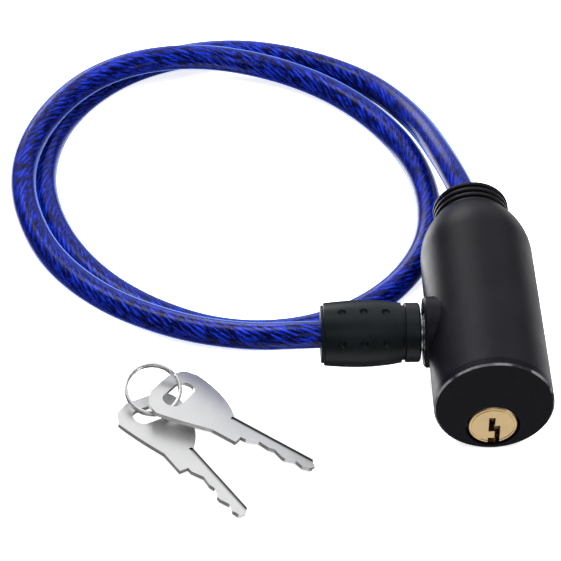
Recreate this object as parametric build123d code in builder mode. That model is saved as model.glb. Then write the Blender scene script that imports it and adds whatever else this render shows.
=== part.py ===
"""Key-operated cable lock lying on a table: lock body, looped steel cable with its plug, and two keys.

Millimetres, +Z up, table at Z = 0. The lock body lies along Y with its key face towards -Y.
The origin is on the table, under the middle of the box that holds the lock body and the keys.
"""

from build123d import *
import math
import os

# ---- driving dimensions ----

# where the lock stands in the model's frame
LOCK_X = 44.8
FACE_Y = -29.45

# lock body
BODY_R = 17.0
BODY_END = 74.5
DOME_START = 60.0
DOME_START_R = 16.6
DOME_END_R = 12.0
CAP_THICK = 2.7
SHELL_BORE_R = 15.7
HOUSING_R = 15.6
HOUSING_END = 57.0
BOSS_R = 11.0
BOSS_END = 69.0

# core and keyway
CORE_R = 7.1
CORE_DROP = 7.9
CORE_END = 23.0
CORE_TURN_DEG = 90.0
TAIL_SIDE = 2.6
TAIL_END = 38.4
WAFER_COUNT = 5
WAFER_PITCH = 2.9
WAFER_THICK = 1.0
WAFER_FIRST = 4.2
WAFER_TRAVEL = 0.8

# latch plate and cam
LATCH_LIFT = 1.6
LATCH_THICK = 3.0
LATCH_WIDTH = 11.8
LATCH_BOTTOM = -5.8
LATCH_TOP = 6.4
SPRING_TOP = 13.1
CAM_GAP = 0.05

# plug, with its axis along X at this depth behind the key face
PLUG_Y = 30.5
PIN_R = 4.0
GROOVE_R = 2.5
FLANGE_FACE = -17.9
FLANGE_R = 10.3
PLUG_START = -18.95
PLUG_LIP = -47.6
DIMPLE_R = 1.3

# cable
CABLE_R = 4.0
ROPE_R = 2.75
CABLE_START_Y = 68.0
CABLE_END_X = -36.0

# keys and ring
KEY_THICK = 1.3
RING_R = 8.35
RING_WIRE = 1.1
RING_WIDTH = 1.8

FIT = 0.05
os.makedirs("parts", exist_ok=True)


# ---- planes ----


def lock_point(x, y, z):
    """A point given from the centre of the key face, with z from the lock's axis."""
    return Vector(LOCK_X + x, FACE_Y + y, BODY_R + z)


def facing_front(depth, x=0.0, z=0.0):
    """A plane across the lock, facing its key face, with +X to the right and +Z up in it."""
    return Plane(origin=lock_point(x, depth, z), x_dir=(1, 0, 0), z_dir=(0, -1, 0))


def facing_up(x=0.0, depth=0.0, z=0.0):
    return Plane(origin=lock_point(x, depth, z), x_dir=(1, 0, 0), z_dir=(0, 0, 1))


def facing_plug(x, z=0.0):
    """A plane across the plug's axis that faces away from the lock."""
    return Plane(origin=lock_point(x, PLUG_Y, z), x_dir=(0, -1, 0), z_dir=(-1, 0, 0))


LOCK_AXIS = Axis(lock_point(0, 0, 0), (0, 1, 0))
PLUG_AXIS = Axis(lock_point(0, PLUG_Y, 0), (1, 0, 0))
LOCK_SECTION = facing_up()
PLUG_SECTION = facing_up(depth=PLUG_Y)


def save(piece, name):
    piece.part.label = name
    export_step(piece.part, f"parts/{name}.step")


# ---- lock body: covers and housing ----

with BuildPart() as cover_shell:
    with BuildSketch(LOCK_SECTION):
        with BuildLine():
            wall = Polyline((0, CAP_THICK), (BODY_R, CAP_THICK), (DOME_START_R, DOME_START))
            dome = TangentArc(wall @ 1, (DOME_END_R, BODY_END), tangent=(0, 1))
            Polyline(dome @ 1, (0, BODY_END), (0, CAP_THICK))
        make_face()
        with BuildLine():
            Polyline(
                (0, CAP_THICK),
                (SHELL_BORE_R, CAP_THICK),
                (SHELL_BORE_R, HOUSING_END + FIT),
                (BOSS_R + 1.6, HOUSING_END + 6.0),
                (BOSS_R + FIT, BOSS_END + FIT),
                (8.05, BOSS_END + FIT),
                (8.05, BODY_END),
                (0, BODY_END),
                close=True,
            )
        make_face(mode=Mode.SUBTRACT)
    revolve(axis=LOCK_AXIS)
    with BuildSketch(facing_plug(0)):
        Circle(FLANGE_R + FIT)
    extrude(amount=BODY_R + 1, mode=Mode.SUBTRACT)
save(cover_shell, "cover_shell")

with BuildPart() as front_cap:
    with BuildSketch(facing_front(0)):
        Circle(BODY_R)
    extrude(amount=-(CAP_THICK - FIT))
    chamfer(front_cap.faces().sort_by(Axis.Y)[0].edges(), 0.5)
    with BuildSketch(facing_front(0, z=-CORE_DROP)):
        Circle(CORE_R + 0.6)
    extrude(amount=-CAP_THICK, mode=Mode.SUBTRACT)
save(front_cap, "front_cap")

wafer_depths = [WAFER_FIRST + i * WAFER_PITCH for i in range(WAFER_COUNT)]
wafer_reach = wafer_depths[-1] + WAFER_THICK

with BuildPart() as lock_housing:
    with BuildSketch(facing_front(CAP_THICK + FIT)):
        Circle(HOUSING_R)
    extrude(amount=-(HOUSING_END - CAP_THICK - FIT))
    with BuildSketch(facing_front(HOUSING_END)):
        Circle(BOSS_R)
    extrude(amount=-(BOSS_END - HOUSING_END))
    # bore of the core, with grooves that take the wafers at both ends of its turn
    with BuildSketch(facing_front(0, z=-CORE_DROP)):
        Circle(CORE_R + FIT)
    extrude(amount=-(CORE_END + FIT), mode=Mode.SUBTRACT)
    with BuildSketch(facing_front(CAP_THICK, z=-CORE_DROP)):
        with Locations((0, 4.0)):
            Rectangle(8.6, 7.8)
        with Locations((4.0, 0)):
            Rectangle(7.8, 8.6)
    extrude(amount=-(wafer_reach + 0.4 - CAP_THICK), mode=Mode.SUBTRACT)
    # room for the cam and the tail behind the core
    with BuildSketch(facing_front(CORE_END, z=-CORE_DROP)):
        Circle(4.4)
    extrude(amount=-(TAIL_END + 0.5 - CORE_END), mode=Mode.SUBTRACT)
    # slot of the latch plate and pocket of its spring
    with BuildSketch(facing_up(depth=PLUG_Y, z=-CORE_DROP)):
        Rectangle(LATCH_THICK + 0.2, LATCH_WIDTH + 0.2)
    extrude(amount=CORE_DROP + LATCH_TOP + LATCH_LIFT + 0.2, mode=Mode.SUBTRACT)
    with BuildSketch(facing_up(depth=PLUG_Y, z=LATCH_TOP)):
        Circle(2.6)
    extrude(amount=SPRING_TOP - LATCH_TOP, mode=Mode.SUBTRACT)
    # bore of the locking pin, with the counterbore of its bush and the seat of the flange
    with BuildSketch(facing_plug(9.0)):
        Circle(PIN_R + 0.1)
    extrude(amount=BODY_R + 9.0, mode=Mode.SUBTRACT)
    with BuildSketch(facing_plug(-4.0)):
        Circle(5.65)
    extrude(amount=BODY_R, mode=Mode.SUBTRACT)
    with BuildSketch(facing_plug(-12.95)):
        Circle(FLANGE_R + FIT)
    extrude(amount=BODY_R, mode=Mode.SUBTRACT)
    # socket of the rope's ferrule, and the two cross pins
    with BuildSketch(facing_front(BOSS_END)):
        Circle(6.05)
    extrude(amount=BOSS_END - 56.0, mode=Mode.SUBTRACT)
    with BuildSketch(facing_up(depth=61.0, z=-BOSS_R)):
        Circle(1.25)
    extrude(amount=2 * BOSS_R, mode=Mode.SUBTRACT)
    with BuildSketch(Plane(lock_point(-BODY_R, 20.75, -0.95), x_dir=(0, 1, 0), z_dir=(1, 0, 0))):
        Circle(0.72)
    extrude(amount=2 * BODY_R, mode=Mode.SUBTRACT)
save(lock_housing, "lock_housing")

with BuildPart() as socket_flange:
    with BuildSketch(facing_plug(-13.0)):
        Circle(FLANGE_R)
        Circle(6.2, mode=Mode.SUBTRACT)
    extrude(amount=-FLANGE_FACE - 13.0)
    chamfer(socket_flange.faces().sort_by(Axis.X)[0].edges(), 0.6)
save(socket_flange, "socket_flange")

with BuildPart() as socket_bush:
    with BuildSketch(facing_plug(-4.05)):
        Circle(5.6)
        Circle(PIN_R + 0.1, mode=Mode.SUBTRACT)
    extrude(amount=13.5)
    chamfer(socket_bush.faces().sort_by(Axis.X)[0].edges().sort_by(SortBy.LENGTH)[0], 0.5)
save(socket_bush, "socket_bush")

RIB_R = 11.4
RIB_COUNT = 4
RIB_PITCH = 2.25
MOUTH_FLARE = 0.6
GROMMET_END = BODY_END + RIB_COUNT * RIB_PITCH

with BuildPart() as grommet:
    with BuildSketch(LOCK_SECTION):
        with BuildLine():
            Polyline(
                (CABLE_R + FIT, 76.0),
                (6.1, 76.0),
                (6.1, 71.0),
                (8.0, 71.0),
                (8.0, BODY_END + FIT),
                (RIB_R - 0.8, BODY_END + FIT),
                (RIB_R - 0.8, GROMMET_END - 0.4),
                (RIB_R - 1.2, GROMMET_END),
                (CABLE_R + MOUTH_FLARE, GROMMET_END),
                (CABLE_R + FIT, 77.0),
                close=True,
            )
        make_face()
        for i in range(RIB_COUNT):
            with Locations((RIB_R - 1.25, BODY_END + (i + 0.45) * RIB_PITCH)):
                RectangleRounded(2.5, 1.4, 0.5)
    revolve(axis=LOCK_AXIS)
save(grommet, "grommet")

with BuildPart() as body_ferrule:
    with BuildSketch(facing_front(56.05)):
        Circle(6.0)
    extrude(amount=-(75.5 - 56.05))
    with BuildSketch(facing_front(CABLE_START_Y)):
        Circle(CABLE_R + FIT)
    extrude(amount=-10, mode=Mode.SUBTRACT)
    with BuildSketch(facing_up(depth=61.0, z=-7)):
        Circle(1.25)
    extrude(amount=14, mode=Mode.SUBTRACT)
    chamfer(body_ferrule.faces().sort_by(Axis.Y)[0].edges(), 0.8)
save(body_ferrule, "body_ferrule")

with BuildPart() as ferrule_pin:
    with BuildSketch(facing_up(depth=61.0, z=-BOSS_R + 0.4)):
        Circle(1.2)
    extrude(amount=2 * BOSS_R - 0.8)
save(ferrule_pin, "ferrule_pin")

with BuildPart() as core_pin:
    with BuildSketch(Plane(lock_point(-9, 20.75, -0.95), x_dir=(0, 1, 0), z_dir=(1, 0, 0))):
        Circle(0.68)
    extrude(amount=18)
save(core_pin, "core_pin")


# ---- core with its keyway, wafers and cam ----

with BuildPart() as lock_core:
    with BuildSketch(facing_front(0.25, z=-CORE_DROP)):
        Circle(CORE_R)
    extrude(amount=-(CORE_END - 0.25))
    chamfer(lock_core.faces().sort_by(Axis.Y)[0].edges(), 0.35)
    # turned ring near the rim of the face
    with BuildSketch(facing_front(0.25, z=-CORE_DROP)):
        Circle(6.3)
        Circle(6.0, mode=Mode.SUBTRACT)
    extrude(amount=-0.15, mode=Mode.SUBTRACT)
    with BuildSketch(facing_front(CORE_END, z=-CORE_DROP)):
        Rectangle(TAIL_SIDE, TAIL_SIDE)
    extrude(amount=-(TAIL_END - CORE_END))
    # stepped keyway: an upper limb, a lower limb to its right and a foot across both
    with BuildSketch(facing_front(0, z=-CORE_DROP)):
        with Locations((-0.25, 0.4)):
            Rectangle(1.8, 5.4)
        with Locations((1.4, -3.55)):
            Rectangle(1.5, 6.9)
        with Locations((0.65, -1.2)):
            Rectangle(0.4, 1.8)
        with Locations((0.5, -5.9)):
            Rectangle(3.3, 2.0)
    extrude(amount=-19.0, mode=Mode.SUBTRACT)
    # windows of the wafers, and a pocket beside each for its spring
    for depth in wafer_depths:
        with BuildSketch(facing_front(depth - FIT, z=-CORE_DROP)):
            Rectangle(8.2, 2 * CORE_R + 1)
            with Locations((4.9, 0.8)):
                Rectangle(1.9, 2.8)
        extrude(amount=-(WAFER_THICK + 2 * FIT), mode=Mode.SUBTRACT)
        with BuildSketch(facing_up(5.1, depth + WAFER_THICK / 2, -CORE_DROP - 3.6)):
            Circle(0.65)
        extrude(amount=3.6, mode=Mode.SUBTRACT)
    # groove of the core pin, and groove of the clip on the tail
    with BuildSketch(facing_front(19.95, z=-CORE_DROP)):
        Circle(CORE_R + 1)
        Circle(6.2, mode=Mode.SUBTRACT)
    extrude(amount=-1.6, mode=Mode.SUBTRACT)
    with BuildSketch(facing_front(36.6, z=-CORE_DROP)):
        Circle(4)
        Circle(1.2, mode=Mode.SUBTRACT)
    extrude(amount=-0.7, mode=Mode.SUBTRACT)
save(lock_core, "lock_core")

with BuildPart() as wafers:
    for depth in wafer_depths:
        with BuildSketch(facing_front(depth, z=-CORE_DROP)):
            Rectangle(8.0, 11.2)
            with Locations((4.8, 0.2)):
                Rectangle(1.7, 1.3)
            with Locations((0.55, -0.3)):
                Rectangle(4.4, 6.8, mode=Mode.SUBTRACT)
        extrude(amount=-WAFER_THICK)
save(wafers, "wafers")

with BuildPart() as wafer_springs:
    for depth in wafer_depths:
        with BuildSketch(facing_up(5.1, depth + WAFER_THICK / 2, -CORE_DROP - 3.55)):
            Circle(0.5)
        extrude(amount=3.05)
save(wafer_springs, "wafer_springs")

# The cam's working edge is an involute, so it lifts the plate evenly with the angle turned.
cam_base = LATCH_LIFT / math.radians(CORE_TURN_DEG)
low_angle = (LATCH_BOTTOM + CORE_DROP - CAM_GAP) / cam_base
high_angle = low_angle + math.radians(CORE_TURN_DEG)
EDGE_STEPS = 6


def cam_point(angle):
    """A point of the involute, turned so that the low end of the edge faces the plate."""
    along = cam_base * (math.cos(angle) + angle * math.sin(angle))
    across = cam_base * (math.sin(angle) - angle * math.cos(angle))
    return Vector(along, across).rotate(Axis.Z, 180 - math.degrees(low_angle))


edge_angles = [
    low_angle - 0.1 + (high_angle - low_angle + 0.2) * i / EDGE_STEPS
    for i in range(EDGE_STEPS + 1)
]

with BuildPart() as lock_cam:
    with BuildSketch(facing_front(25.0, z=-CORE_DROP)):
        with BuildLine():
            edge = Spline(*[cam_point(angle) for angle in edge_angles])
            Line(edge @ 1, (0, 0))
            Line((0, 0), edge @ 0)
        make_face()
        Circle(2.0)
        Rectangle(TAIL_SIDE + 0.06, TAIL_SIDE + 0.06, mode=Mode.SUBTRACT)
    extrude(amount=-11.0)
save(lock_cam, "lock_cam")

with BuildPart() as cam_clip:
    with BuildSketch(facing_front(36.65, z=-CORE_DROP)):
        Circle(3.0)
        Circle(1.25, mode=Mode.SUBTRACT)
        with Locations((0, -2.0)):
            Rectangle(1.6, 3.0, mode=Mode.SUBTRACT)
    extrude(amount=-0.6)
save(cam_clip, "cam_clip")


# ---- latch ----

with BuildPart() as latch_plate:
    with BuildSketch(facing_plug(-LATCH_THICK / 2)):
        with Locations((0, (LATCH_TOP + LATCH_BOTTOM) / 2)):
            Rectangle(LATCH_WIDTH, LATCH_TOP - LATCH_BOTTOM)
        Circle(PIN_R + 0.2, mode=Mode.SUBTRACT)
    extrude(amount=-LATCH_THICK)
    fillet(latch_plate.edges().filter_by(Axis.X).group_by(Axis.Z)[-1], 0.8)
save(latch_plate, "latch_plate")

SPRING_R = 2.0
SPRING_WIRE_R = 0.28
SPRING_TURNS = 4
spring_rise = SPRING_TOP - LATCH_TOP - 2 * SPRING_WIRE_R - 0.2

with BuildPart() as latch_spring:
    with BuildLine():
        coil = Helix(
            pitch=spring_rise / SPRING_TURNS,
            height=spring_rise,
            radius=SPRING_R,
            center=lock_point(0, PLUG_Y, LATCH_TOP + SPRING_WIRE_R + 0.1),
        )
    with BuildSketch(Plane(origin=coil @ 0, z_dir=coil % 0)):
        Circle(SPRING_WIRE_R)
    sweep(is_frenet=True)
save(latch_spring, "latch_spring")


# ---- plug ----

with BuildPart() as locking_pin:
    with BuildSketch(PLUG_SECTION):
        with BuildLine():
            Polyline(
                (-32.0, 0),
                (-32.0, 3.0),
                (-26.0, 3.0),
                (-26.0, PIN_R),
                (-1.7, PIN_R),
                (-1.7, GROOVE_R),
                (1.7, GROOVE_R),
                (1.7, PIN_R),
                (5.2, PIN_R),
                (7.6, 2.4),
                (8.2, 0),
                close=True,
            )
        make_face()
    revolve(axis=PLUG_AXIS)
save(locking_pin, "locking_pin")

with BuildPart() as pin_collar:
    with BuildSketch(facing_plug(FLANGE_FACE - 0.15)):
        Circle(5.4)
        Circle(PIN_R + 0.02, mode=Mode.SUBTRACT)
    extrude(amount=3.0)
    chamfer(pin_collar.faces().sort_by(Axis.X)[-1].edges().sort_by(SortBy.LENGTH)[-1], 0.3)
save(pin_collar, "pin_collar")

with BuildPart() as plug_end_ring:
    with BuildSketch(PLUG_SECTION):
        with BuildLine():
            Polyline((-23.4, 5.45), (PLUG_START, 5.45), (PLUG_START, 8.1))
            Polyline((PLUG_START, 8.1), (PLUG_START - 0.5, 8.6), (-23.1, 8.6), (-23.4, 8.3))
            Line((-23.4, 8.3), (-23.4, 5.45))
        make_face()
    revolve(axis=PLUG_AXIS)
save(plug_end_ring, "plug_end_ring")

with BuildPart() as plug_seal:
    with BuildSketch(facing_plug(-23.45)):
        Circle(7.9)
        Circle(PIN_R + 0.05, mode=Mode.SUBTRACT)
    extrude(amount=0.85)
save(plug_seal, "plug_seal")

SLEEVE_START = -24.35
SLEEVE_END = -46.8
DIMPLE_COUNT = 6
DIMPLE_FIRST_DEG = 25
DIMPLE_DEPTH = 0.8
# each row's place along the plug, with the sleeve's radius there
DIMPLE_ROWS = [(-41.6, 9.5), (-35.3, 9.65), (-28.9, 9.3)]

with BuildPart() as plug_sleeve:
    with BuildSketch(PLUG_SECTION):
        with BuildLine():
            left = Polyline((-44.1, 6.25), (-44.1, 4.3), (SLEEVE_END, 4.3), (SLEEVE_END, 8.6))
            corner = ThreePointArc(left @ 1, (-46.65, 8.95), (-46.3, 9.1))
            belly = Spline(
                corner @ 1,
                (-41.5, 9.5),
                (-34.0, 9.65),
                (-28.0, 9.2),
                (SLEEVE_START, 8.65),
            )
            Polyline(belly @ 1, (SLEEVE_START, 6.25), left @ 0)
        make_face()
    revolve(axis=PLUG_AXIS)
    # each dimple's sphere has its poles along the plug, clear of the skin that it cuts
    for row, skin_r in DIMPLE_ROWS:
        for i in range(DIMPLE_COUNT):
            angle = math.radians(DIMPLE_FIRST_DEG + i * 360 / DIMPLE_COUNT)
            outward = Vector(0, -math.cos(angle), math.sin(angle))
            centre = lock_point(row, PLUG_Y, 0) + outward * (skin_r + DIMPLE_R - DIMPLE_DEPTH)
            with Locations(Plane(centre, x_dir=outward, z_dir=(1, 0, 0))):
                Sphere(DIMPLE_R, mode=Mode.SUBTRACT)
save(plug_sleeve, "plug_sleeve")

with BuildPart() as plug_lip:
    with BuildSketch(facing_plug(SLEEVE_END - 0.02)):
        Circle(8.3)
        Circle(4.3, mode=Mode.SUBTRACT)
    extrude(amount=SLEEVE_END - PLUG_LIP - 0.02)
    fillet(plug_lip.faces().sort_by(Axis.X)[0].edges().sort_by(SortBy.LENGTH)[-1], 0.35)
save(plug_lip, "plug_lip")

with BuildPart() as plug_ferrule:
    with BuildSketch(facing_plug(-24.4)):
        Circle(6.2)
    extrude(amount=19.6)
    with BuildSketch(facing_plug(-24.4)):
        Circle(PIN_R + 0.02)
    extrude(amount=1.62, mode=Mode.SUBTRACT)
    with BuildSketch(facing_plug(-24.4)):
        Circle(3.02)
    extrude(amount=7.7, mode=Mode.SUBTRACT)
    with BuildSketch(facing_plug(CABLE_END_X + 0.1)):
        Circle(CABLE_R + 0.1)
    extrude(amount=10, mode=Mode.SUBTRACT)
save(plug_ferrule, "plug_ferrule")


# ---- cable ----

# Points of the route from the key face's centre, with heights from the table: out of the grommet,
# down to the table, once round on the table, then a second turn that climbs over the first and
# leans on its outside before it rises to the plug.
ROUTE = [
    (0.0, CABLE_START_Y, 17.0),
    (0.0, 85.0, 17.0),
    (-5.5, 107.0, 16.0),
    (-13.0, 137.5, 8.5),
    (-28.5, 163.0, 4.0),
    (-56.5, 177.0, 4.0),
    (-81.5, 178.5, 4.0),
    (-107.0, 168.5, 4.0),
    (-125.0, 147.5, 4.0),
    (-132.0, 121.0, 4.0),
    (-128.0, 95.5, 4.0),
    (-116.0, 72.5, 4.0),
    (-98.0, 55.5, 4.0),
    (-75.0, 44.5, 4.0),
    (-50.0, 45.0, 4.0),
    (-27.5, 57.5, 4.0),
    (-13.0, 78.5, 4.0),
    (-10.0, 104.5, 4.0),
    (-17.0, 130.5, 4.0),
    (-35.0, 155.0, 4.0),
    (-59.5, 169.0, 5.5),
    (-86.5, 170.5, 9.5),
    (-112.5, 160.0, 12.0),
    (-130.5, 137.5, 12.5),
    (-138.5, 110.0, 10.5),
    (-131.0, 81.0, 8.0),
    (-114.0, 58.5, 8.0),
    (-90.5, 43.0, 9.5),
    (-68.5, 33.5, 13.5),
    (-51.5, PLUG_Y, 17.0),
    (CABLE_END_X, PLUG_Y, 17.0),
]
route_points = [lock_point(x, y, z - BODY_R) for x, y, z in ROUTE]


def bend_radius(before, corner, after):
    """The largest arc that two runs leave room for, from 0.45 of the shorter one."""
    turn = math.radians((corner - before).get_angle(after - corner))
    shorter = min((corner - before).length, (after - corner).length)
    return 0.45 * shorter / math.tan(turn / 2)


bend_radii = [
    bend_radius(*route_points[i : i + 3])
    for i in range(len(route_points) - 2)
]

with BuildPart() as cable_jacket:
    with BuildLine():
        centreline = FilletPolyline(*route_points, radius=bend_radii)
    with BuildSketch(Plane(origin=centreline @ 0, z_dir=centreline % 0)):
        Circle(CABLE_R)
        Circle(ROPE_R + FIT, mode=Mode.SUBTRACT)
    sweep()
save(cable_jacket, "cable_jacket")

with BuildPart() as wire_rope:
    with BuildLine():
        rope_line = FilletPolyline(*route_points, radius=bend_radii)
    with BuildSketch(Plane(origin=rope_line @ 0, z_dir=rope_line % 0)):
        Circle(ROPE_R)
    sweep()
save(wire_rope, "wire_rope")

print("bend radii", [round(radius) for radius in bend_radii])
print("cable length", round(centreline.length, 1))
for piece, outer, inner in ((cable_jacket, CABLE_R, ROPE_R + FIT), (wire_rope, ROPE_R, 0)):
    section = math.pi * (outer**2 - inner**2)
    print(piece.part.label, round(piece.part.volume / (section * centreline.length), 4))


# ---- keys on their split ring ----

# Each key's plane has its origin where the bow meets the blade, x to the tip and y to the spine.
# The keys lean on each other and on the ring, so each has its own small pitch and roll.


def key_plane(x, y, height, yaw, pitch, roll):
    plane = Plane(origin=lock_point(x, y, height - BODY_R))
    return plane.rotated((roll, 0, 0)).rotated((0, pitch, 0)).rotated((0, 0, yaw))


KEY_PLANES = {
    "key_1": key_plane(-74.4, 8.8, 3.61, -34.1, 5.4, -9.6),
    "key_2": key_plane(-86.9, -0.8, 2.01, -56.3, 1.9, -9.85),
}
BOW_END = -24.3
BLADE_HALF = 2.8
SHOULDER_X = 6.0
SHOULDER_Y = -6.2
SLOT_CENTRE = -17.5
SLOT_LENGTH = 12.0
SLOT_WIDTH = 6.0

# edge of the blade that lifts the wafers, from the shoulder to the tip
BITTING = [
    (SHOULDER_X, -3.3),
    (7.6, -3.3),
    (11.0, -1.4),
    (14.3, -1.8),
    (16.2, -1.25),
    (19.2, -2.5),
    (20.4, -2.5),
    (23.2, -1.2),
    (25.8, -1.9),
    (27.8, -1.2),
    (28.7, 0.4),
]
# the blade's two grooves: side of the blade, place across it, width
GROOVES = [(1, 1.85, 1.1), (-1, 0.4, 1.3)]
GROOVE_DEPTH = 0.5

for name, plane in KEY_PLANES.items():
    with BuildPart() as key:
        with BuildSketch(plane.offset(-KEY_THICK / 2)):
            with BuildLine():
                spine = Line((26.5, BLADE_HALF), (0, BLADE_HALF))
                far = Spline(spine @ 1, (-3, 5.4), (-10, 9.0), (-18, 10.8))
                Polyline(far @ 1, (-22, 9.8), (BOW_END, 5.0), (BOW_END, -4.5), (-22, -9.1), (-18, -11.2))
                near = Spline((-18, -11.2), (-10, -9.0), (-2, SHOULDER_Y))
                Polyline(near @ 1, (SHOULDER_X, SHOULDER_Y), *BITTING, spine @ 0)
            make_face()
            with Locations((SLOT_CENTRE, 0)):
                SlotOverall(SLOT_LENGTH, SLOT_WIDTH, rotation=90, mode=Mode.SUBTRACT)
        extrude(amount=KEY_THICK)
        through = Axis(plane.origin, plane.z_dir)
        corners = key.edges().filter_by(through).sort_by(Axis(plane.origin, plane.x_dir))[:4]
        fillet(corners, 3.0)
        for side, across, width in GROOVES:
            with BuildSketch(plane.offset(side * KEY_THICK / 2)):
                with Locations((15.0, across)):
                    Rectangle(31, width)
            extrude(amount=-side * GROOVE_DEPTH, mode=Mode.SUBTRACT)
    save(key, name)

RING_CENTRE = lock_point(-96.06, 19.56, 7.0 - BODY_R)
RING_NORMAL = (0.117, -0.318, 0.941)

with BuildPart() as key_ring:
    with BuildSketch(Plane(origin=RING_CENTRE, z_dir=RING_NORMAL).offset(-RING_WIDTH / 2)):
        Circle(RING_R)
        Circle(RING_R - RING_WIRE, mode=Mode.SUBTRACT)
    extrude(amount=RING_WIDTH)
save(key_ring, "key_ring")
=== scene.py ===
import bpy
import math
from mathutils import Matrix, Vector


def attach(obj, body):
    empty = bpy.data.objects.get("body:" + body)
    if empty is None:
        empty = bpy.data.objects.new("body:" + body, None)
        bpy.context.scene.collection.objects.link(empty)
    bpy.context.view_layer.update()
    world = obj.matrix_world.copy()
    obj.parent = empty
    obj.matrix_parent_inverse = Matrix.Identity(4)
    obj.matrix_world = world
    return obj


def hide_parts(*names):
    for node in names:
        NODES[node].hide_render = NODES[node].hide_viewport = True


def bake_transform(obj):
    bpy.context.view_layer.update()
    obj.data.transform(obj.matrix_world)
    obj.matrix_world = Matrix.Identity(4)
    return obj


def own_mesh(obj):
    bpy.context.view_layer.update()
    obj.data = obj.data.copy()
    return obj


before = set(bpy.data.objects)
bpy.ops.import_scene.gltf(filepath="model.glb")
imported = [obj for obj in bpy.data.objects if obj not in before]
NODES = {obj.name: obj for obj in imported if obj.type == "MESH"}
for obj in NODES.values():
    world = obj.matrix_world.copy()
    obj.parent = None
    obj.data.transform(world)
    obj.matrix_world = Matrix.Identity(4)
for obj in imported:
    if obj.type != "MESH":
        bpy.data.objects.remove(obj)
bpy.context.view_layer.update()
MM = 0.001

# the centre line of the lock's key face stands here in the model's frame (metres)
LOCK_X = 0.0448
FACE_Y = -0.02945


def at(x, y, z):
    """A point in metres, from millimetres given from the key face's centre and the table."""
    return Vector((LOCK_X + x * MM, FACE_Y + y * MM, z * MM))


# ---------------------------------------------------------------- camera

CAMERA_PLACE = at(-76.2, -524.0, 562.2)
CAMERA_DOWN_DEG = 43.34
CAMERA_TURN_DEG = -1.77
CAMERA_LENS_MM = 173.26
CAMERA_SENSOR_MM = 36.0
CAMERA_NEAR = 0.05
CAMERA_FAR = 10.0

camera_data = bpy.data.cameras.new("camera")
camera_data.lens = CAMERA_LENS_MM
camera_data.sensor_width = CAMERA_SENSOR_MM
camera_data.clip_start = CAMERA_NEAR
camera_data.clip_end = CAMERA_FAR
camera = bpy.data.objects.new("camera", camera_data)
camera.location = CAMERA_PLACE
camera.rotation_euler = (math.radians(90 - CAMERA_DOWN_DEG), 0.0, math.radians(CAMERA_TURN_DEG))
bpy.context.scene.collection.objects.link(camera)
bpy.context.scene.camera = camera


# ---------------------------------------------------------------- material helpers

# the Mix node keeps one set of sockets for each data type; these are the colour ones
MIX_COLOUR_A = 6
MIX_COLOUR_B = 7
MIX_COLOUR_OUT = 2

# the Y part of the outward direction on the chamfer, which slopes at 45 degrees
CHAMFER_NORMAL_Y = -0.707
# the painted highlight on the chamfer round the key face
CHAMFER_HIGHLIGHT = (0.10, 0.10, 0.11)
# the painted shade at the bottom of grooves
GROOVE_SHADE = (0.03, 0.03, 0.03)
CREASE_SAMPLES = 8


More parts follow.
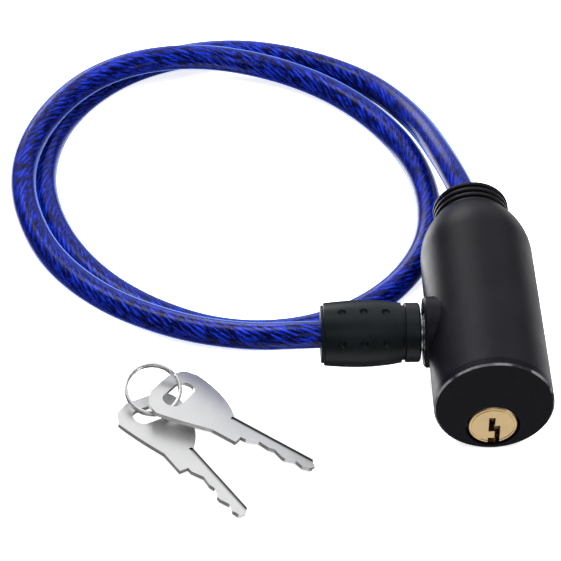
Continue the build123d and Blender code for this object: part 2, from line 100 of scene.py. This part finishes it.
class Shader:
    """A material's node tree with its Principled shader, and short ways to add nodes."""

    def __init__(self, name, **sockets):
        self.material = bpy.data.materials.new(name)
        self.material.use_nodes = True
        self.tree = self.material.node_tree
        self.bsdf = self.tree.nodes["Principled BSDF"]
        for key, value in sockets.items():
            self.bsdf.inputs[key.replace("_", " ")].default_value = value
        self.output = self.tree.nodes["Material Output"]
        self.coords = self.tree.nodes.new("ShaderNodeTexCoord")

    def link(self, source, target):
        self.tree.links.new(source, target)

    def into(self, source, socket):
        """Feed a socket of the Principled shader."""
        self.link(source, self.bsdf.inputs[socket])

    def mapped(self, scale, source="Object", rotation=(0, 0, 0)):
        node = self.tree.nodes.new("ShaderNodeMapping")
        node.inputs["Scale"].default_value = scale
        node.inputs["Rotation"].default_value = rotation
        self.link(self.coords.outputs[source], node.inputs["Vector"])
        return node.outputs["Vector"]

    def noise(self, scale, detail=3.0, roughness=0.5, vector=None):
        node = self.tree.nodes.new("ShaderNodeTexNoise")
        node.inputs["Scale"].default_value = scale
        node.inputs["Detail"].default_value = detail
        node.inputs["Roughness"].default_value = roughness
        self.link(vector or self.coords.outputs["Object"], node.inputs["Vector"])
        return node.outputs["Fac"]

    def ramp(self, source, *stops):
        """Colours over a source from 0 to 1, each stop being a place and a colour."""
        node = self.tree.nodes.new("ShaderNodeValToRGB")
        elements = node.color_ramp.elements
        while len(elements) < len(stops):
            elements.new(0.5)
        for element, (place, value) in zip(elements, stops):
            element.position = place
            element.color = (*value, 1.0)
        self.link(source, node.inputs["Fac"])
        return node.outputs["Color"]

    def remap(self, source, low, high, from_low=0.3, from_high=0.7):
        """low to high as the source goes from from_low to from_high, and held at both ends."""
        node = self.tree.nodes.new("ShaderNodeMapRange")
        node.inputs["From Min"].default_value = from_low
        node.inputs["From Max"].default_value = from_high
        node.inputs["To Min"].default_value = low
        node.inputs["To Max"].default_value = high
        self.link(source, node.inputs["Value"])
        return node.outputs["Result"]

    def math(self, operation, a, b):
        node = self.tree.nodes.new("ShaderNodeMath")
        node.operation = operation
        for socket, value in zip(node.inputs, (a, b)):
            if isinstance(value, (int, float)):
                socket.default_value = value
            else:
                self.link(value, socket)
        return node.outputs["Value"]

    def bump(self, height, strength, distance, before=None):
        node = self.tree.nodes.new("ShaderNodeBump")
        node.inputs["Strength"].default_value = strength
        node.inputs["Distance"].default_value = distance
        self.link(height, node.inputs["Height"])
        if before is not None:
            self.link(before, node.inputs["Normal"])
        return node.outputs["Normal"]

    def mixed(self, factor, first, second):
        """A colour source that gives way to a fixed second colour as the factor rises."""
        node = self.tree.nodes.new("ShaderNodeMix")
        node.data_type = "RGBA"
        self.link(factor, node.inputs["Factor"])
        self.link(first, node.inputs[MIX_COLOUR_A])
        node.inputs[MIX_COLOUR_B].default_value = (*second, 1.0)
        return node.outputs[MIX_COLOUR_OUT]

    def rim(self):
        """How far a face is the chamfer between the lock's front and its side, in patches: where a
        highlight is painted on.
        """
        geometry = self.tree.nodes.new("ShaderNodeNewGeometry")
        parts = self.tree.nodes.new("ShaderNodeSeparateXYZ")
        self.link(geometry.outputs["True Normal"], parts.inputs["Vector"])
        off = self.math("ABSOLUTE", self.math("ADD", parts.outputs["Y"], -CHAMFER_NORMAL_Y), 0.0)
        chamfer = self.remap(off, 1.0, 0.0, 0.10, 0.16)
        patches = self.remap(self.noise(160.0), 0.1, 1.0, 0.42, 0.56)
        return self.math("MULTIPLY", chamfer, patches)

    def creases(self, distance):
        """How shut in a place is, for painting shade into grooves: near one at the bottom of a groove,
        nothing on an open face.
        """
        shut = self.tree.nodes.new("ShaderNodeAmbientOcclusion")
        shut.samples = CREASE_SAMPLES
        shut.only_local = True
        shut.inputs["Distance"].default_value = distance
        return self.remap(shut.outputs["AO"], 1.0, 0.0, 0.45, 0.90)


def moulded_black(name, base, rough, grain, depth, specular, rim_highlight=False):
    """Black moulded or coated surface: fine grain, faint cloudy wear and small scuffs."""
    s = Shader(name, Specular_IOR_Level=specular)
    cloud = s.noise(55.0, 4.0, 0.6)
    fine = s.noise(grain, 2.0, 0.55)
    scuffs = s.noise(240.0, 5.0, 0.7, vector=s.mapped((1.0, 0.18, 1.0)))
    light = tuple(v * 1.8 + 0.0008 for v in base)
    colour = s.ramp(cloud, (0.30, base), (0.75, light))
    # a painted highlight on the chamfer round the key face, in patches
    if rim_highlight:
        colour = s.mixed(s.rim(), colour, CHAMFER_HIGHLIGHT)
    s.into(colour, "Base Color")
    clouded = s.remap(cloud, *rough)
    scuffed = s.math("ADD", clouded, s.remap(scuffs, 0.0, 0.12, 0.55, 0.75))
    s.into(scuffed, "Roughness")
    normal = s.bump(fine, 0.5, depth)
    s.into(s.bump(scuffs, 0.12, depth * 2.0, normal), "Normal")
    return s.material


def worked_metal(name, dark, light, rough, stretch=(1, 1, 1), scratch=0.25, metallic=1.0, crease_shade=0.0):
    """Metal with a drawn or ground finish: fine lines along one axis over cloudy tarnish."""
    s = Shader(name, Metallic=metallic)
    cloud = s.noise(130.0, 4.0, 0.6)
    lines = s.noise(900.0, 3.0, 0.6, vector=s.mapped(stretch))
    colour = s.ramp(cloud, (0.3, dark), (0.7, light))
    # painted shade: darker in grooves and notch corners
    if crease_shade:
        colour = s.mixed(s.creases(crease_shade), colour, GROOVE_SHADE)
    s.into(colour, "Base Color")
    s.into(s.remap(lines, *rough), "Roughness")
    s.into(s.bump(lines, scratch, 0.00004), "Normal")
    return s.material


shell_black = moulded_black(
    "shell_black", (0.0018, 0.0017, 0.0028), rough=(0.34, 0.46),
    grain=2200.0, depth=0.00007, specular=0.14,
)
cap_black = moulded_black(
    "cap_black", (0.0012, 0.0012, 0.0022), rough=(0.34, 0.46),
    grain=2200.0, depth=0.00006, specular=0.07, rim_highlight=True,
)
sleeve_black = moulded_black(
    "sleeve_black", (0.0020, 0.0030, 0.0036), rough=(0.28, 0.40),
    grain=2000.0, depth=0.00006, specular=0.18,
)
rubber_black = moulded_black(
    "rubber_black", (0.0018, 0.0018, 0.0028), rough=(0.34, 0.48),
    grain=1500.0, depth=0.00006, specular=0.18,
)
zinc = worked_metal("zinc", (0.25, 0.26, 0.28), (0.38, 0.39, 0.41), rough=(0.45, 0.65))
steel = worked_metal(
    "steel", (0.46, 0.46, 0.47), (0.64, 0.64, 0.65), rough=(0.22, 0.40), stretch=(0.05, 1, 1),
)
nickel = worked_metal(
    "nickel", (0.67, 0.67, 0.66), (0.71, 0.71, 0.70), rough=(0.28, 0.36), stretch=(1, 0.08, 1),
    scratch=0.05, metallic=0.92, crease_shade=0.0012,
)
ring_steel = worked_metal(
    "ring_steel", (0.66, 0.66, 0.66), (0.80, 0.80, 0.79), rough=(0.14, 0.28), stretch=(1, 1, 0.1),
    scratch=0.2, metallic=0.90,
)

CORE_HEIGHT_MM = 9.1
LATHE_PITCH = 0.00035


def turned_brass():
    """Brass face turned on a lathe: rings round the core's axis, with warm stains."""
    s = Shader("turned_brass", Metallic=1.0)
    centre = at(0, 0, CORE_HEIGHT_MM)
    shift = s.tree.nodes.new("ShaderNodeVectorMath")
    shift.operation = "SUBTRACT"
    shift.inputs[1].default_value = centre
    s.link(s.coords.outputs["Object"], shift.inputs[0])
    flat = s.tree.nodes.new("ShaderNodeVectorMath")
    flat.operation = "MULTIPLY"
    flat.inputs[1].default_value = (1.0, 0.0, 1.0)
    s.link(shift.outputs["Vector"], flat.inputs[0])
    length = s.tree.nodes.new("ShaderNodeVectorMath")
    length.operation = "LENGTH"
    s.link(flat.outputs["Vector"], length.inputs[0])
    radius = length.outputs["Value"]
    turned = s.math("SINE", s.math("MULTIPLY", radius, 2 * math.pi / LATHE_PITCH), 0.0)
    cloud = s.noise(330.0, 4.0, 0.6)
    colour = s.ramp(cloud, (0.28, (0.60, 0.41, 0.19)), (0.72, (0.80, 0.61, 0.34)))
    s.into(colour, "Base Color")
    s.into(s.remap(cloud, 0.24, 0.42), "Roughness")
    s.into(s.bump(turned, 0.25, 0.00002), "Normal")
    return s.material


brass = turned_brass()

# the vinyl's own colour in its middle, the painted light along its rims, and what it does to light that
# passes
DEEP_BLUE = (0.002, 0.006, 0.09)
PAINTED_RIM_LIGHT = (0.10, 0.20, 0.62)
THIN_TINT = (0.13, 0.25, 0.88)
THICK_TINT = (0.05, 0.10, 0.62)
# the painted shade and the painted glints on the rope's wires
WIRE_PAINTED_SHADE = (0.015, 0.018, 0.03)
WIRE_PAINTED_GLINT = (0.85, 0.90, 1.0)


def tinted_jacket():
    """Clear blue vinyl: the rope shows through its middle, its rims get a painted light, its skin is
    glossy.
    """
    s = Shader("tinted_jacket", Roughness=0.25, Specular_IOR_Level=0.2)
    waves = s.noise(150.0, 3.0, 0.5)
    normal = s.bump(waves, 0.35, 0.0003)
    s.into(normal, "Normal")
    thickness = s.tree.nodes.new("ShaderNodeLayerWeight")
    thickness.inputs["Blend"].default_value = 0.35
    facing = thickness.outputs["Facing"]
    # the vinyl's deep blue in the middle; towards the rims a lighter blue is painted in for light
    # coming through the edge
    s.into(s.ramp(facing, (0.50, DEEP_BLUE), (0.70, PAINTED_RIM_LIGHT)), "Base Color")
    clear = s.tree.nodes.new("ShaderNodeBsdfTransparent")
    tint = s.ramp(facing, (0.0, THIN_TINT), (0.50, THICK_TINT))
    s.link(tint, clear.inputs["Color"])
    body = s.tree.nodes.new("ShaderNodeMixShader")
    s.link(s.remap(facing, 0.10, 1.0, 0.20, 0.52), body.inputs["Fac"])
    s.link(clear.outputs["BSDF"], body.inputs[1])
    s.link(s.bsdf.outputs["BSDF"], body.inputs[2])
    skin = s.tree.nodes.new("ShaderNodeBsdfGlossy")
    s.link(s.remap(waves, 0.12, 0.22), skin.inputs["Roughness"])
    s.link(normal, skin.inputs["Normal"])
    whole = s.tree.nodes.new("ShaderNodeMixShader")
    s.link(s.remap(facing, 0.03, 0.20, 0.70, 1.0), whole.inputs["Fac"])
    s.link(body.outputs["Shader"], whole.inputs[1])
    s.link(skin.outputs["BSDF"], whole.inputs[2])
    s.link(whole.outputs["Shader"], s.output.inputs["Surface"])
    return s.material


def rope_wire():
    """Bright wire laid in strands, with painted shade and painted glints in patches along it."""
    s = Shader("rope_wire", Metallic=0.55, Specular_IOR_Level=0.5)
    glint_patches = s.noise(1.0, 3.0, 0.6, vector=s.mapped((240.0, 3.2, 1.0), "UV"))
    wires = s.noise(1.0, 2.0, 0.6, vector=s.mapped((260.0, 9.0, 1.0), "UV", (0, 0, 0.02)))
    # painted shade and painted glints, in patches along each strand
    s.into(s.ramp(glint_patches, (0.44, WIRE_PAINTED_SHADE), (0.60, WIRE_PAINTED_GLINT)), "Base Color")
    s.into(s.remap(glint_patches, 0.48, 0.30), "Roughness")
    s.into(s.bump(wires, 0.5, 0.0001), "Normal")
    return s.material


jacket_blue = tinted_jacket()
wire = rope_wire()
# the rope's middle is near-black: painted shade that shows in the gaps between the strands
rope_core_shade = worked_metal("rope_core_shade", (0.015, 0.016, 0.02), (0.06, 0.06, 0.07), rough=(0.45, 0.6))

LOOKS = {
    "cover_shell": shell_black,
    "front_cap": cap_black,
    "socket_flange": shell_black,
    "grommet": rubber_black,
    "plug_seal": rubber_black,
    "plug_end_ring": sleeve_black,
    "plug_sleeve": sleeve_black,
    "plug_lip": sleeve_black,
    "lock_housing": zinc,
    "lock_core": brass,
    "wafers": brass,
    "key_1": nickel,
    "key_2": nickel,
    "key_ring": ring_steel,
    "cable_jacket": jacket_blue,
    "wire_rope": wire,
}

# every other node is plain turned or pressed steel
for name, node in NODES.items():
    node.data.materials.clear()
    node.data.materials.append(LOOKS.get(name, steel))


# ---------------------------------------------------------------- cable

CABLE_R = 4.0 * MM
# the route from part.py: millimetres from the key face's centre, heights from the table
ROUTE = [
    (0.0, 68.0, 17.0),
    (0.0, 85.0, 17.0),
    (-5.5, 107.0, 16.0),
    (-13.0, 137.5, 8.5),
    (-28.5, 163.0, 4.0),
    (-56.5, 177.0, 4.0),
    (-81.5, 178.5, 4.0),
    (-107.0, 168.5, 4.0),
    (-125.0, 147.5, 4.0),
    (-132.0, 121.0, 4.0),
    (-128.0, 95.5, 4.0),
    (-116.0, 72.5, 4.0),
    (-98.0, 55.5, 4.0),
    (-75.0, 44.5, 4.0),
    (-50.0, 45.0, 4.0),
    (-27.5, 57.5, 4.0),
    (-13.0, 78.5, 4.0),
    (-10.0, 104.5, 4.0),
    (-17.0, 130.5, 4.0),
    (-35.0, 155.0, 4.0),
    (-59.5, 169.0, 5.5),
    (-86.5, 170.5, 9.5),
    (-112.5, 160.0, 12.0),
    (-130.5, 137.5, 12.5),
    (-138.5, 110.0, 10.5),
    (-131.0, 81.0, 8.0),
    (-114.0, 58.5, 8.0),
    (-90.5, 43.0, 9.5),
    (-68.5, 33.5, 13.5),
    (-51.5, 30.5, 17.0),
    (-36.0, 30.5, 17.0),
]


def smooth_route(route, steps):
    """Points along the NURBS spline that has the route's points as its control points."""
    curve = bpy.data.curves.new("cable_line", "CURVE")
    curve.dimensions = "3D"
    curve.resolution_u = steps
    spline = curve.splines.new("NURBS")
    spline.points.add(len(route) - 1)
    for point, place in zip(spline.points, route):
        point.co = (*at(*place), 1.0)
    spline.order_u = 3
    spline.use_endpoint_u = True
    holder = bpy.data.objects.new("cable_line", curve)
    bpy.context.scene.collection.objects.link(holder)
    bpy.context.view_layer.update()
    line = bpy.data.meshes.new_from_object(
        holder.evaluated_get(bpy.context.evaluated_depsgraph_get())
    )
    points = [v.co.copy() for v in line.vertices]
    bpy.data.meshes.remove(line)
    bpy.data.objects.remove(holder)
    bpy.data.curves.remove(curve)
    return points


def carried_frames(points):
    """Unit tangent, side and top at each point, carried along the line without twist."""
    frames = []
    top = Vector((0, 0, 1))
    for i, point in enumerate(points):
        before = points[max(i - 1, 0)]
        after = points[min(i + 1, len(points) - 1)]
        tangent = (after - before).normalized()
        top = (top - tangent * top.dot(tangent)).normalized()
        frames.append((tangent, tangent.cross(top), top))
    return frames


def tube(name, rings, material, first_v=0.0):
    """A closed mesh through rings of points, with U along it in metres and V once round it."""
    sides = len(rings[0])
    verts = [v for ring in rings for v in ring]
    faces = []
    uvs = []
    along = [0.0]
    for i in range(1, len(rings)):
        along.append(along[-1] + (rings[i][0] - rings[i - 1][0]).length)
    for i in range(len(rings) - 1):
        for j in range(sides):
            k = (j + 1) % sides
            this, following = i * sides, (i + 1) * sides
            faces.append((this + j, this + k, following + k, following + j))
            low, high = first_v + j / sides, first_v + (j + 1) / sides
            uvs += [(along[i], low), (along[i], high), (along[i + 1], high), (along[i + 1], low)]
    faces.append(tuple(reversed(range(sides))))
    uvs += [(0.0, first_v)] * sides
    last = (len(rings) - 1) * sides
    faces.append(tuple(last + j for j in range(sides)))
    uvs += [(along[-1], first_v)] * sides
    mesh = bpy.data.meshes.new(name)
    mesh.from_pydata(verts, [], faces)
    layer = mesh.uv_layers.new(name="UVMap")
    for loop, uv in zip(layer.data, uvs):
        loop.uv = uv
    mesh.materials.append(material)
    for polygon in mesh.polygons:
        polygon.use_smooth = len(polygon.vertices) == 4
    obj = bpy.data.objects.new(name, mesh)
    bpy.context.scene.collection.objects.link(obj)
    return obj


def round_ring(centre, side, top, radius, sides):
    """Points on a circle round the centre, in the plane of side and top."""
    ring = []
    for j in range(sides):
        angle = 2 * math.pi * j / sides
        ring.append(centre + (side * math.cos(angle) + top * math.sin(angle)) * radius)
    return ring


ROUTE_STEPS = 24
JACKET_SIDES = 36

line = smooth_route(ROUTE, ROUTE_STEPS)
frames = carried_frames(line)
jacket_rings = [
    round_ring(point, side, top, CABLE_R, JACKET_SIDES)
    for point, (_, side, top) in zip(line, frames)
]
jacket = tube("cable_skin", jacket_rings, jacket_blue)

STRAND_COUNT = 13
STRAND_R = 0.57 * MM
STRAND_SIDES = 8
# each strand winds round the rope at this radius, once in this length
LAY_R = 2.98 * MM
LAY_LENGTH = 40.0 * MM
CORE_STRAND_R = LAY_R - 0.3 * MM
CORE_SIDES = 16
# each strand takes its wires from its own part of the noise, so that no band crosses them all
STRAND_SHIFT = 1.7


def join(name, parts):
    """One object from several meshes made the same way."""
    for part in parts:
        part.select_set(True)
    bpy.context.view_layer.objects.active = parts[0]
    bpy.ops.object.join()
    parts[0].name = name
    parts[0].select_set(False)
    return parts[0]


travel = [0.0]
for i in range(1, len(line)):
    travel.append(travel[-1] + (line[i] - line[i - 1]).length)

strands = []
for k in range(STRAND_COUNT):
    phase = 2 * math.pi * k / STRAND_COUNT
    centres = []
    for point, (tangent, side, top), gone in zip(line, frames, travel):
        angle = phase - 2 * math.pi * gone / LAY_LENGTH
        centres.append(point + (side * math.cos(angle) + top * math.sin(angle)) * LAY_R)
    rings = [
        round_ring(c, side, top, STRAND_R, STRAND_SIDES)
        for c, (_, side, top) in zip(centres, carried_frames(centres))
    ]
    strands.append(tube(f"strand_{k}", rings, wire, first_v=STRAND_SHIFT * k))
core_rings = [
    round_ring(point, side, top, CORE_STRAND_R, CORE_SIDES)
    for point, (_, side, top) in zip(line, frames)
]
strands.append(tube("strand_core", core_rings, rope_core_shade))
bpy.ops.object.select_all(action="DESELECT")
rope = join("rope_strands", strands)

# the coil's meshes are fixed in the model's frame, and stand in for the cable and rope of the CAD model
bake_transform(jacket)
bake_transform(rope)
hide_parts("cable_jacket")
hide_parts("wire_rope")


# ---------------------------------------------------------------- split ring

RING_CENTRE = at(-96.06, 19.56, 7.0)
RING_NORMAL = Vector((0.117, -0.318, 0.941)).normalized()
RING_MEAN_R = 7.8 * MM
RING_WIRE = 1.02 * MM
COIL_HIGH = 0.82 * MM
COIL_GAP = 0.05 * MM
EDGE_CUT = 0.16 * MM
RING_STEPS = 288
# two turns, less a hair, so that the wire's two ends can be told apart
RING_TURN = 4 * math.pi * 0.997
RING_START_DEG = 200
CROSSING_DEG = 26


def split_ring():
    """Two flat coils of wire, one on the other, with a short step where one crosses to the next."""
    across = RING_NORMAL.cross(Vector((0, 0, 1))).normalized()
    up = RING_NORMAL.cross(across)
    rings = []
    lift = (COIL_HIGH + COIL_GAP) / 2
    half_w, half_h, cut = RING_WIRE / 2, COIL_HIGH / 2, EDGE_CUT
    crossing = math.radians(CROSSING_DEG)
    for i in range(RING_STEPS + 1):
        turn = RING_TURN * i / RING_STEPS
        beyond = (turn - (2 * math.pi - crossing / 2)) / crossing
        t = min(max(beyond, 0.0), 1.0)
        level = lift * (2 * t * t * (3 - 2 * t) - 1)
        angle = turn + math.radians(RING_START_DEG)
        out = across * math.cos(angle) + up * math.sin(angle)
        centre = RING_CENTRE + out * RING_MEAN_R + RING_NORMAL * level
        ring = []
        for w, h in (
            (half_w, -half_h + cut), (half_w, half_h - cut), (half_w - cut, half_h),
            (-half_w + cut, half_h), (-half_w, half_h - cut), (-half_w, -half_h + cut),
            (-half_w + cut, -half_h), (half_w - cut, -half_h),
        ):
            ring.append(centre + out * w + RING_NORMAL * h)
        rings.append(ring)
    return tube("ring_coils", rings, ring_steel)


ring = split_ring()
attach(ring, "ring")
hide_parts("key_ring")

# the latch's return spring stays seated in the housing: its own copy, held by the lock body
spring = bpy.data.objects.new("latch_coil", NODES["latch_spring"].data.copy())
bpy.context.scene.collection.objects.link(spring)
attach(spring, "lock_body")
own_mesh(spring)
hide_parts("latch_spring")


# ---------------------------------------------------------------- floor and light


FLOOR_HALF = 3.0
FLOOR_DROP = 0.0002
FLOOR_GLOW = 0.8


def floor():
    """A pale table, just under the model. Gloss doesn't see it, and sees the studio instead."""
    s = Shader("floor_pale", Roughness=0.9, Specular_IOR_Level=0.1)
    s.bsdf.inputs["Base Color"].default_value = (0.93, 0.93, 0.935, 1.0)
    s.bsdf.inputs["Emission Color"].default_value = (1.0, 1.0, 1.0, 1.0)
    s.bsdf.inputs["Emission Strength"].default_value = FLOOR_GLOW
    mesh = bpy.data.meshes.new("floor")
    half = FLOOR_HALF
    corners = [(-half, -half, 0), (half, -half, 0), (half, half, 0), (-half, half, 0)]
    mesh.from_pydata(corners, [], [(0, 1, 2, 3)])
    mesh.materials.append(s.material)
    obj = bpy.data.objects.new("floor", mesh)
    bpy.context.scene.collection.objects.link(obj)
    obj.location = (0, 0, -FLOOR_DROP)
    obj.visible_glossy = False


LIGHT_AIM = Vector((0.0, 0.04, 0.01))


def softbox(name, towards, distance, width, height, power, glossy=True):
    """An area light that many metres off in a direction, aimed at the middle of the coil."""
    data = bpy.data.lights.new(name, "AREA")
    data.shape = "RECTANGLE"
    data.size = width
    data.size_y = height
    data.energy = power
    obj = bpy.data.objects.new(name, data)
    way = Vector(towards).normalized()
    obj.location = LIGHT_AIM + way * distance
    obj.rotation_euler = (-way).to_track_quat("-Z", "Y").to_euler()
    obj.visible_glossy = glossy
    bpy.context.scene.collection.objects.link(obj)


STUDIO_WHITE = (0.97, 0.975, 1.0, 1.0)


def studio(base, patches):
    """Dim surroundings with soft bright patches: a direction, inner and outer degrees, a strength."""
    world = bpy.data.worlds.new("studio")
    world.use_nodes = True
    tree = world.node_tree
    coords = tree.nodes.new("ShaderNodeTexCoord")
    total = None
    for direction, inner, outer, strength in patches:
        dot = tree.nodes.new("ShaderNodeVectorMath")
        dot.operation = "DOT_PRODUCT"
        dot.inputs[1].default_value = Vector(direction).normalized()
        tree.links.new(coords.outputs["Generated"], dot.inputs[0])
        fade = tree.nodes.new("ShaderNodeMapRange")
        fade.interpolation_type = "SMOOTHSTEP"
        fade.inputs["From Min"].default_value = math.cos(math.radians(outer))
        fade.inputs["From Max"].default_value = math.cos(math.radians(inner))
        fade.inputs["To Min"].default_value = 0.0
        fade.inputs["To Max"].default_value = strength
        tree.links.new(dot.outputs["Value"], fade.inputs["Value"])
        add = tree.nodes.new("ShaderNodeMath")
        add.operation = "ADD"
        add.inputs[0].default_value = base
        if total is not None:
            tree.links.new(total, add.inputs[0])
        tree.links.new(fade.outputs["Result"], add.inputs[1])
        total = add.outputs["Value"]
    background = tree.nodes["Background"]
    background.inputs["Color"].default_value = STUDIO_WHITE
    tree.links.new(total, background.inputs["Strength"])
    bpy.context.scene.world = world


floor()
softbox("top_light", (0.05, 0.1, 1.0), 1.2, 1.8, 1.4, 60.0, glossy=False)
softbox("front_light", (0.73, -0.68, 0.10), 1.1, 0.30, 0.22, 1.6)
studio(
    0.08,
    [
        # high at the back, for the upper faces
        ((0.0, 0.72, 0.69), 28, 58, 0.85),
        # low at the back left and right, for the cover's two rims
        ((-0.53, 0.72, -0.44), 8, 25, 5.0),
        ((0.53, 0.72, -0.44), 10, 26, 1.2),
        # low in front, for the key face and the brass
        ((0.0, -0.72, -0.69), 12, 28, 1.05),
        # two small bright ones, for gloss along the cable
        ((-0.26, 0.90, 0.35), 8, 18, 3.5),
        ((-0.36, 0.37, 0.85), 7, 14, 3.0),
        # high in front, for the chamfer round the key face
        ((0.0, -0.69, 0.72), 6, 20, 0.8),
    ],
)
bpy.context.scene.view_settings.view_transform = "Standard"


# ---------------------------------------------------------------- close

bpy.context.view_layer.update()
